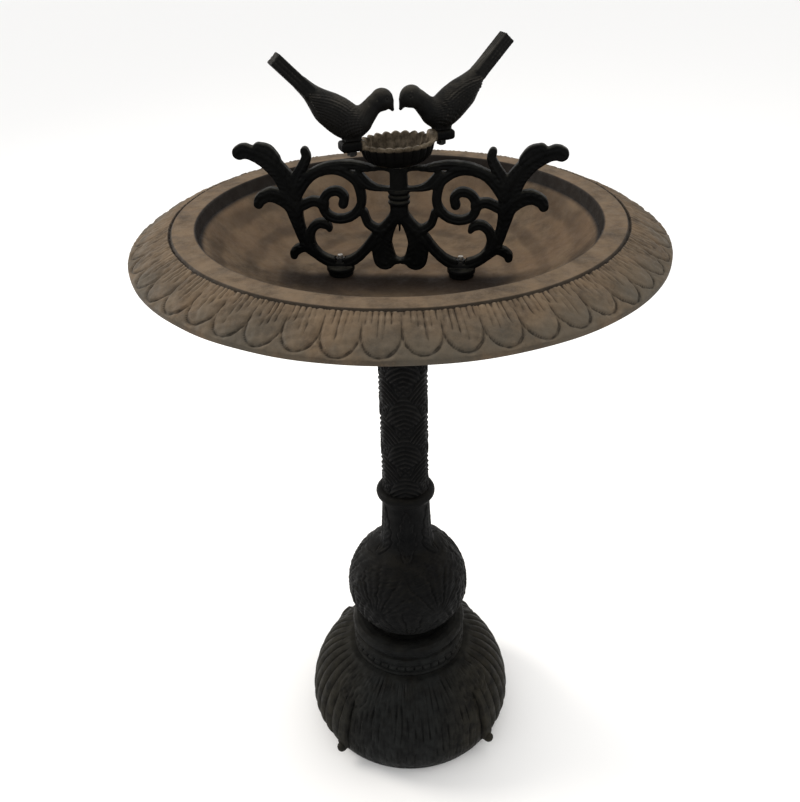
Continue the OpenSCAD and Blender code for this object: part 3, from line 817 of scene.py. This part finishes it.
def base_relief(radius, height, angle):
    """Crisp reeds at the sides, bark-like ridges at the front and back, and four flat ribs."""
    reeds = 48
    turn = angle - BASE_TURN
    side = cell(turn * reeds / TURN + 0.04 * waves(angle * 70, height, 3, scale=60.0))
    reed = np.sqrt(np.clip(1 - (side / 0.5) ** 2, 0, 1)) - 0.9
    bend = 0.22 * waves(angle * 90, height * 0.45, 21, scale=40.0)
    bark_line = cell((angle - FRONT) * BASE_RADIUS / 9.0 + bend)
    broken = ease(-0.6, 0.5, waves(angle * 90, height * 0.5, 29, scale=18.0))
    coarse = 0.4 * waves(angle * 150, height * 0.3, 23, scale=5.0)
    bark = 0.3 - 1.5 * broken * ridge(bark_line, 0.15) + coarse
    bark = bark * (0.25 + 0.75 * ease(10, 36, height))
    front_or_back = ease(0.62, 0.86, np.abs(np.sin(angle - FRONT - math.pi / 2)))
    skin = 3.4 * reed * (1 - front_or_back) + bark * front_or_back - 1.0

    from_rib = cell(turn * RIBS / TURN) * TURN / RIBS * radius
    from_rosette = height - 92
    panel = ease(30, 16, np.hypot(from_rib * 0.9, from_rosette * 1.3))
    rosette = 0.5 * np.cos(np.hypot(np.abs(from_rib) - 9, from_rosette) * TURN / 6.5) - 0.9
    leafy = 0.4 * waves(angle * 120, height, 27, scale=7.0)
    skin = skin * (1 - panel) + (rosette + leafy) * panel
    relief = skin * ease(BASE_HEIGHT, BASE_HEIGHT - 5, height) * ease(1, 10, height)

    half_width = 6.4 - 2.0 * ease(20, 88, height)
    along_rib = ease(90, 85, height) * ease(17, 20, height)
    rib = ease(half_width + 0.6, half_width - 0.6, np.abs(from_rib)) * along_rib
    beside = ease(half_width + 4, half_width + 0.5, np.abs(from_rib)) * along_rib
    relief = relief * (1 - rib) + 2.8 * rib - 1.8 * beside * (1 - rib)
    return np.where((radius > 62) & (height > 0.4), relief, 0.0)


def build_base():
    """A hollow bell with a round end on each of its ribs."""
    wall = 6.0
    rod_hole = 5.5
    ceiling = BASE_HEIGHT - wall
    outside = [(bell_radius(h), h, 1.7) for h in np.linspace(0, BASE_HEIGHT - 0.6, 26)]
    inside = [(bell_radius(h * BASE_HEIGHT / ceiling) - wall, h, 20) for h in np.linspace(ceiling, 0, 8)]
    top = [(62, BASE_HEIGHT, 12), (rod_hole, BASE_HEIGHT, 3), (rod_hole, ceiling, 12)]
    pieces = [turned(outline([*outside, *top, *inside], 0.5), 800, base_relief)]
    for quarter in range(RIBS):
        pieces.append(nub(BASE_TURN + quarter * TURN / RIBS))
    place("base_casting", merged(pieces), PEDESTAL_IRON, "pedestal", "base")


def nub(angle):
    """The round end of a rib."""
    rings = 16
    sides = 24
    polar_gap = 0.12
    half_sizes = np.array([6.0, 5.8, 6.2])
    lat = np.linspace(-math.pi / 2 + polar_gap, math.pi / 2 - polar_gap, rings)[:, None]
    lon = np.arange(sides) * TURN / sides
    ball = np.stack([np.cos(lat) * np.cos(lon), np.cos(lat) * np.sin(lon), np.sin(lat) + 0 * lon], -1)
    ball = ball.reshape(-1, 3) * half_sizes + np.array([bell_radius(NUB_HEIGHT) + 3.3, 0, NUB_HEIGHT])
    caps = [list(range(sides))[::-1], [(rings - 1) * sides + k for k in range(sides)]]
    return turned_about(ball, angle), ring_faces(rings, sides, closed=False).tolist() + caps


# -------- scroll frame

# Limbs of the right half, mirrored for the left: rows of (x, height above the bowl's floor, half width).
STRANDS = {
    "outer_stem": [(84, 24, 4.5), (91, 33, 5), (95, 46, 5.5), (98, 60, 7), (100, 74, 8.8), (103, 88, 9.5),
                   (109, 99, 8.8), (118, 109, 8.2), (127, 115, 7.4), (135, 118, 6.4), (141, 119.6, 6.9),
                   (145.5, 118.3, 6.5)],
    "leaf_crest": [(113.5, 112.5, 5.5), (120, 118.5, 7), (127, 121, 6.5)],
    "volute": [(52, 71, 4.6), (51, 78, 4.3), (57, 83, 4.2), (65, 81, 4.3), (70, 75, 4.5), (71, 67, 4.4),
               (66, 59, 4.2), (55, 56, 4.2), (43, 60, 4.3), (35.5, 70, 4.4), (35, 81, 4.5), (39, 93, 4.6),
               (50, 101, 4.6), (62, 103.5, 4.6), (76, 100, 4.8), (86, 92, 5), (95, 80, 5.5)],
    "top_bar": [(28, 105.5, 2.8), (40, 107.5, 3.8), (54, 107.5, 4), (68, 105, 4), (82, 98, 4)],
    "cradle": [(0, 100, 4.5), (7, 103.5, 2.2), (15, 105, 2), (24, 104.5, 2.4), (34, 105, 3.4)],
    "lower_brace": [(37, 98, 5), (29, 90, 4.5), (21, 86.6, 2.9), (12, 85.6, 2), (0, 85, 3)],
    "upright_leaf": [(97, 90, 6), (92, 99, 5.2), (87, 107, 4.9), (83.8, 114.5, 4.4), (85, 120, 3.8)],
    "side_leaf": [(97, 62, 5.5), (105, 71.5, 6.5), (113.5, 77.3, 7), (122, 78.4, 6.4), (129.5, 75, 5.8),
                  (132.5, 70, 4.6)],
    "side_crest": [(115, 79, 5.5), (120, 80, 5.6)],
    "volute_link": [(70, 70, 4.2), (80, 73, 4.6), (92, 68, 4.6)],
    "heart": [(66, 46, 2.4), (69, 50, 4), (76, 51.5, 4.4), (83, 46, 4.4), (86, 36, 4.6), (83, 25, 4.8),
              (75, 17, 5), (64, 12.5, 5.4), (52, 12.5, 5.4), (41, 18, 5), (31, 28, 4.8), (22, 40, 5),
              (12, 50, 5), (4, 58, 5)],
    "hook": [(33, 63, 3.8), (29, 52, 4), (19, 46.5, 4.2), (10, 52, 4.6), (3, 62, 5.5)],
    "bottom_leaf": [(82, 22.5, 4.8), (90, 27.3, 4.6), (97, 26, 4.6), (101.5, 22.5, 4.6), (102.5, 19, 3.8)],
    "fleur_petal": [(5.5, 54, 4.5), (11.5, 43.5, 6.3), (16, 33, 8.8), (16, 24, 10.5), (14.5, 17, 10.8)],
    "petal_tie": [(0, 14.8, 2), (6, 15.5, 4)],
    "centre_stem": [(0, 58, 5.5), (0, 64, 7.5), (0, 76, 8.3), (0, 90, 7.8), (0, 100, 7.5)],
}
LEAVES = ("outer_stem", "leaf_crest", "upright_leaf", "side_leaf", "side_crest", "bottom_leaf",
          "fleur_petal")
FRAME_VOXEL = 0.75
PAD_RADIUS = 13.5
FOOT_REACH = 58.0


def strand_field(limb, x, y, z, leafy):
    """Distance field of one limb: a soft-edged bar with a channel and creases, and veins on a leaf."""
    across, width, run = along_limb(smooth_path(limb, 7), x, z)
    share = np.abs(across) / width
    squareness = 4.5
    core = np.minimum(width, FRAME_HALF_DEPTH)
    side = (share - 1) * width / core + 1
    level = np.abs(y)[None, :, None] / FRAME_HALF_DEPTH
    field = (np.maximum(side, 0)[:, None, :] ** squareness + level ** squareness) ** (1 / squareness) - 1
    on_face = ease(0.6, 0.95, level)
    channel = ridge((across / width) - 0.15, 0.32) * (0.9 if leafy else 0.6)
    crease = ridge(share - 0.62, 0.10) * 0.5
    relief = channel + crease
    if leafy:
        veins = 0.5 + 0.5 * np.cos((run - np.abs(across) * 0.9) * TURN / 5.5)
        relief = relief + 0.45 * veins * ease(0.15, 0.45, share)
    top_wear = 0.07 * waves(x, z, 17, scale=7.0)
    return field * core[:, None, :] + (1.1 * relief[:, None, :] * on_face) + top_wear[:, None, :]


def upright_drum(X, Y, Z, radius, bottom, top):
    """Distance field of a cylinder about Z."""
    middle = (bottom + top) / 2
    return np.maximum(np.hypot(X, Y) - radius, np.abs(Z - middle) - (top - bottom) / 2)


def build_scroll_frame():
    """The right half is carved from its limbs, foot and saddle, then mirrored."""
    voxel = FRAME_VOXEL
    before_middle = 3
    half_thick = PAD_RADIUS + 4 * voxel
    x = np.arange(-before_middle * voxel, 153.0, voxel)
    y = np.arange(-half_thick, half_thick + voxel / 2, voxel)
    z = np.arange(-4 * voxel, 131, voxel)
    flat_x, flat_z = np.meshgrid(x, z, indexing="ij")
    field = np.full((len(x), len(y), len(z)), 20.0)
    for name, limb in STRANDS.items():
        rows = np.array(limb)
        margin = rows[:, 2].max() + 4
        xs = slice(*np.searchsorted(x, [rows[:, 0].min() - margin, rows[:, 0].max() + margin]))
        zs = slice(*np.searchsorted(z, [rows[:, 1].min() - margin, rows[:, 1].max() + margin]))
        part = strand_field(limb, flat_x[xs, zs], y, flat_z[xs, zs], name in LEAVES)
        field[xs, :, zs] = blend_min(field[xs, :, zs], part, 1.6)
    X, Y, Z = np.meshgrid(x, y, z, indexing="ij", sparse=True)
    from_foot = X - FOOT_REACH
    saddle_top = SADDLE_HEIGHT - FLOOR_HEIGHT
    field = blend_min(field, upright_drum(from_foot, Y, Z, PAD_RADIUS - 1.5, 0.0, 4.5), 0.8)
    field = blend_min(field, upright_drum(from_foot, Y, Z, PAD_RADIUS, 4.5, 9.0), 0.8)
    field = blend_min(field, upright_drum(X, Y, Z, 7.5, saddle_top - 34, saddle_top), 1.2)
    for band in range(3):
        roll = np.hypot(np.hypot(X, Y) - 7.7, Z - 73 - 5 * band) - 2.2
        field = blend_min(field, roll, 0.5)
    nut_room = upright_drum(from_foot, Y, Z, 5.4, 13.0, 25.0)
    above_saddle = np.maximum(np.hypot(X, Y) - 9, saddle_top - Z)
    for hollow in (nut_room, above_saddle, Z):
        field = np.maximum(field, -hollow)
    # Both halves keep the middle plane, so the right half sits one voxel further out than the left.
    whole = np.concatenate([field[:before_middle - 1:-1], field[before_middle:]], 0)
    shape = carved(whole, (-x[-1], y[0], z[0] + FLOOR_HEIGHT), voxel)
    place("scroll_frame_casting", shape, FRAME_IRON, "basin_unit", "scroll_frame")


# -------- cup

CUP_HALF_WIDTH = 29.0
CUP_DEPTH = 22.3
# Rows of (height above the cup's bottom, share of its full width there).
CUP_SHARE = np.array([(0, 0.42), (2, 0.64), (5, 0.8), (9, 0.9), (15, 0.96), (CUP_DEPTH, 1)])


def build_cup():
    """An oval shell with flutes and a scalloped lip, and a lug at each end for a bird."""
    flutes = 24
    columns = flutes * 16
    wall = 2.4
    floor = 3.6
    angle = np.arange(columns) * TURN / columns
    scallop = np.abs(np.cos(angle * flutes / 2))

    def oval(half_length, half_width, height):
        """A row of points round an ellipse."""
        return np.stack([half_length * np.cos(angle), half_width * np.sin(angle), height + 0 * angle], -1)

    rows = []
    for inset, levels in ((0.0, np.linspace(0, CUP_DEPTH, 36)), (wall, np.linspace(CUP_DEPTH, floor, 30))):
        for level in levels:
            share = np.interp(level, CUP_SHARE[:, 0], CUP_SHARE[:, 1])
            flute = (scallop - 0.75) * 2.0 * ease(2, 12, level)
            lip = 0.9 * ease(CUP_DEPTH - 4, CUP_DEPTH - 1.5, level) * (inset == 0)
            outward = flute + lip - 0.7 - inset
            half_length = CUP_HALF_LENGTH * share + outward
            half_width = CUP_HALF_WIDTH * share + outward
            lift = (scallop - 0.8) * 1.8 * ease(CUP_DEPTH - 6, CUP_DEPTH, level)
            rows.append(oval(half_length, half_width, level + lift))
    boss = ((9.0, floor), (6.0, 3.8), (6.0, 7.0), (3.1, 7.0), (3.1, 0.0))
    for radius, level in boss:
        rows.append(oval(radius, radius, level))
    points = np.concatenate(rows) + np.array([0, 0, CUP_BOTTOM])
    parts = [(points, ring_faces(len(rows), columns))]
    for end in (0, math.pi):
        block, quads = perch_block()
        parts.append((turned_about(block, end), quads))
    vertices, faces = merged(parts)
    shape = turned_about(vertices, CUP_TURN), faces
    place("cup_casting", shape, CUP_IRON, "cup_unit", "cup")


def perch_block():
    """A rounded lug that the bird stands on."""
    voxel = 0.6
    middle = 42.5
    half_length = 11.6
    half_width = 7.9
    half_height = 4.5
    soft = 3.0
    x = np.arange(28, 57, voxel)
    y = np.arange(-10.2, 10.21, voxel)
    z = np.arange(-11.4, 2.01, voxel)
    X, Y, Z = np.meshgrid(x, y, z, indexing="ij", sparse=True)
    dx = np.maximum(np.abs(X - middle) - (half_length - soft), 0)
    dy = np.maximum(np.abs(Y) - (half_width - soft), 0)
    dz = np.maximum(np.abs(Z + half_height) - (half_height - soft), 0)
    field = np.sqrt(dx ** 2 + dy ** 2 + dz ** 2) - soft + 0.15 * waves(X, Y, 6, scale=6.0)
    return carved(field, (x[0], y[0], z[0] + PERCH_TOP), voxel)


# -------- birds

BIRD_LEAN = math.radians(38)


def tilted(X, Z, centre, tilt):
    """X and Z measured from a centre along axes tilted in the XZ plane."""
    c = math.cos(tilt)
    s = math.sin(tilt)
    dx = X - centre[0]
    dz = Z - centre[1]
    return dx * c + dz * s, -dx * s + dz * c


def ellipsoid(X, Y, Z, centre, size, tilt):
    """Distance field, near its surface, of an ellipsoid tilted in the XZ plane."""
    along, up = tilted(X, Z, centre, tilt)
    squares = (along / size[0]) ** 2 + (Y / size[1]) ** 2 + (up / size[2]) ** 2
    return (np.sqrt(squares) - 1) * min(size)


def capsule(X, Y, Z, start, end, radii, squash):
    """Distance field of a tapering rod in the XZ plane; squash above 1 flattens it from side to side."""
    step = np.array(end, float) - np.array(start, float)
    length_squared = step @ step
    t = np.clip(((X - start[0]) * step[0] + (Z - start[1]) * step[1]) / length_squared, 0, 1)
    dx = X - start[0] - t * step[0]
    dz = Z - start[1] - t * step[1]
    return np.sqrt(dx ** 2 + (Y * squash) ** 2 + dz ** 2) - (radii[0] + t * (radii[1] - radii[0]))


def bird_body(X, Y, Z):
    """Body, belly, rump, neck, head and beak."""
    belly = ellipsoid(X, Y, Z, (43, 149.5), (15.5, 10.5, 13), 0.3)
    rump = capsule(X, Y, Z, (65, 166), (84, 186), (10, 6.0), 1.0)
    neck = capsule(X, Y, Z, (33, 151.5), (22, 162.5), (10.5, 8.2), 1.15)
    head = ellipsoid(X, Y, Z, (13.6, 166.6), (10.4, 7.8, 9.8), 0.25)
    beak = capsule(X, Y, Z, (7.0, 163), (3.9, 157.2), (4.6, 1.7), 1.2)
    field = ellipsoid(X, Y, Z, (53, 157), (24, 11.5, 15.5), BIRD_LEAN)
    for part, fillet in ((belly, 5), (rump, 8), (neck, 3.5), (head, 3.0), (beak, 1.8)):
        field = blend_min(field, part, fillet)
    return field


def bird_tail(X, Y, Z):
    """A rising square-ended tail with grooves between its feathers."""
    along, up = tilted(X, Z, (83, 184.5), math.radians(46))
    dx = np.maximum(np.abs(along - 13.5) - 19.5, 0)
    dy = np.maximum(np.abs(Y) - 5.9, 0)
    dz = np.maximum(np.abs(up) - 4.6, 0)
    tail = np.sqrt(dx ** 2 + dz ** 2 + dy ** 2) - 1.1
    return tail + 0.45 * ridge(cell(Y / 3.1) * 3.1, 0.45) + 0.35 * ridge(np.abs(up) - 1.6, 0.6)


def with_wings(field, X, Y, Z):
    """Adds folded wings, with rounded scales in front and long barbs behind."""
    x, z = tilted(X, Z, (58, 160.5), BIRD_LEAN)
    half_thick = 4.4
    drop = 11.0 - 0.10 * (x + 10)
    wing = np.sqrt((x / 27) ** 2 + (z / drop) ** 2 + ((np.abs(Y) - 8.0) / half_thick) ** 2) - 1
    field = blend_min(field, wing * half_thick, 0.6)
    on_wing = ease(0.3, -0.02, wing)
    broken = 0.6 + 0.4 * np.cos(x * TURN / 6.5 + z * 1.4)
    barbs = np.cos((z + 0.08 * x + 0.010 * x ** 2) * TURN / 2.5) * broken
    scales = np.cos((x + 0.06 * z ** 2) * TURN / 4.4) * np.cos(z * TURN / 4.0)
    front = ease(-4, -12, x)
    return field + on_wing * (0.30 * barbs * (1 - front) + 0.30 * scales * front)


def bird_mesh():
    """A perching dove in profile: x outwards from the cup's centre, z above the bowl's floor."""
    voxel = 0.55
    x = np.arange(-1, 116, voxel)
    y = np.arange(-16.5, 16.51, voxel)
    z = np.arange(132, 216, voxel)
    X, Y, Z = np.meshgrid(x, y, z, indexing="ij", sparse=True)
    field = with_wings(blend_min(bird_body(X, Y, Z), bird_tail(X, Y, Z), 2.5), X, Y, Z)
    plumage = np.cos((X * 0.8 + Z * 0.55) * TURN / 3.0) * np.cos((Z * 0.8 - X * 0.55 + 3 * Y) * TURN / 7)
    field = field + 0.12 * plumage * ease(22, 32, X)
    eye = np.hypot(np.hypot(X - 10.8, Z - 168.6) - 1.6, (np.abs(Y) - 7.4) * 0.7)
    field = field + 0.6 * ridge(eye, 0.7)
    foot = np.maximum(np.maximum(np.abs(X - 43) - 7.5, np.abs(Y) - 6.5), np.abs(Z - 138.5) - 3.6)
    field = blend_min(field, foot, 1.5)
    field = np.maximum(field, PERCH_TOP - FLOOR_HEIGHT - Z)
    return carved(field, (x[0], y[0], z[0] + FLOOR_HEIGHT), voxel)


def build_birds():
    """Two birds alike, facing each other over the cup."""
    vertices, faces = bird_mesh()
    for name, side in (("right_bird", 0.0), ("left_bird", math.pi)):
        shape = turned_about(vertices, CUP_TURN + side), faces
        place(name + "_casting", shape, BIRD_IRON, "cup_unit", name)


# -------- carried-over CAD nodes


def finish_cad_nodes():
    """Materials for the CAD nodes that keep their own meshes."""
    finishes = {
        STEEL: ("tie_rod", "tie_washers", "tie_nuts", "foot_bolts", "foot_washers", "cup_screw"),
        BLACK_STEEL: ("foot_nuts", "cup_spacer", "bird_studs", "bird_nuts"),
        RUBBER: ("column_seal", "foot_seals"),
    }
    for material, nodes in finishes.items():
        for node in nodes:
            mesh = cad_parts[node].data
            mesh.materials.clear()
            mesh.materials.append(material)


# -------- floor, light and camera


def build_stage():
    """A plain pale floor."""
    mesh = bpy.data.meshes.new("floor")
    half = 12
    corners = [(-half, -half, 0), (half, -half, 0), (half, half, 0), (-half, half, 0)]
    mesh.from_pydata(corners, [], [(0, 1, 2, 3)])
    material, _, shader = shader_nodes("floor_plain")
    shader.inputs["Base Color"].default_value = (0.96, 0.96, 0.96, 1)
    shader.inputs["Roughness"].default_value = 0.9
    mesh.materials.append(material)
    floor = bpy.data.objects.new("floor", mesh)
    bpy.context.scene.collection.objects.link(floor)


def add_light(name, position, aim, size, power, colour):
    """A round area light pointed at aim."""
    data = bpy.data.lights.new(name, "AREA")
    data.shape = "DISK"
    data.size = size
    data.energy = power
    data.color = colour
    lamp = bpy.data.objects.new(name, data)
    lamp.location = position
    lamp.rotation_euler = (Vector(aim) - Vector(position)).to_track_quat("-Z", "Y").to_euler()
    bpy.context.scene.collection.objects.link(lamp)


def build_lights():
    """An even pale surround with a soft light above and weaker ones at the sides and in front."""
    world = bpy.data.worlds.new("studio")
    bpy.context.scene.world = world
    world.use_nodes = True
    background = world.node_tree.nodes["Background"]
    background.inputs["Color"].default_value = (1.0, 0.995, 0.985, 1)
    background.inputs["Strength"].default_value = 0.97
    bpy.context.scene.view_settings.view_transform = "Standard"
    aim = (0, 0, 0.5)
    add_light("top", (0.1, 0.5, 2.6), aim, 1.6, 16, (1.0, 0.98, 0.95))
    add_light("left", (-1.9, 0.5, 1.4), aim, 0.9, 26, (1.0, 0.95, 0.88))
    add_light("right", (1.9, 0.4, 1.5), aim, 1.2, 7, (1.0, 0.95, 0.88))
    add_light("front", (-0.5, -2.2, 1.6), aim, 1.6, 5, (0.94, 0.97, 1.0))


def build_camera():
    """The camera that was fitted to the photograph."""
    data = bpy.data.cameras.new("camera")
    data.sensor_width = 36
    data.lens = 40.4
    camera = bpy.data.objects.new("camera", data)
    heading = math.radians(6.0)
    pan = math.radians(0.26)
    pitch = math.radians(31.26)
    roll = math.radians(-1.5)
    distance = 0.8095
    height = 0.9422
    spot = Vector((math.sin(heading) * distance, -math.cos(heading) * distance, height))
    turn = (Matrix.Rotation(heading + pan, 4, "Z") @ Matrix.Rotation(math.pi / 2 - pitch, 4, "X")
            @ Matrix.Rotation(roll, 4, "Z"))
    camera.matrix_world = Matrix.Translation(spot) @ turn
    bpy.context.scene.collection.objects.link(camera)
    bpy.context.scene.camera = camera


build_basin()
build_column()
build_knop_ring()
build_bulb()
build_collar()
build_base()
build_scroll_frame()
build_cup()
build_birds()
finish_cad_nodes()
build_stage()
build_lights()
build_camera()
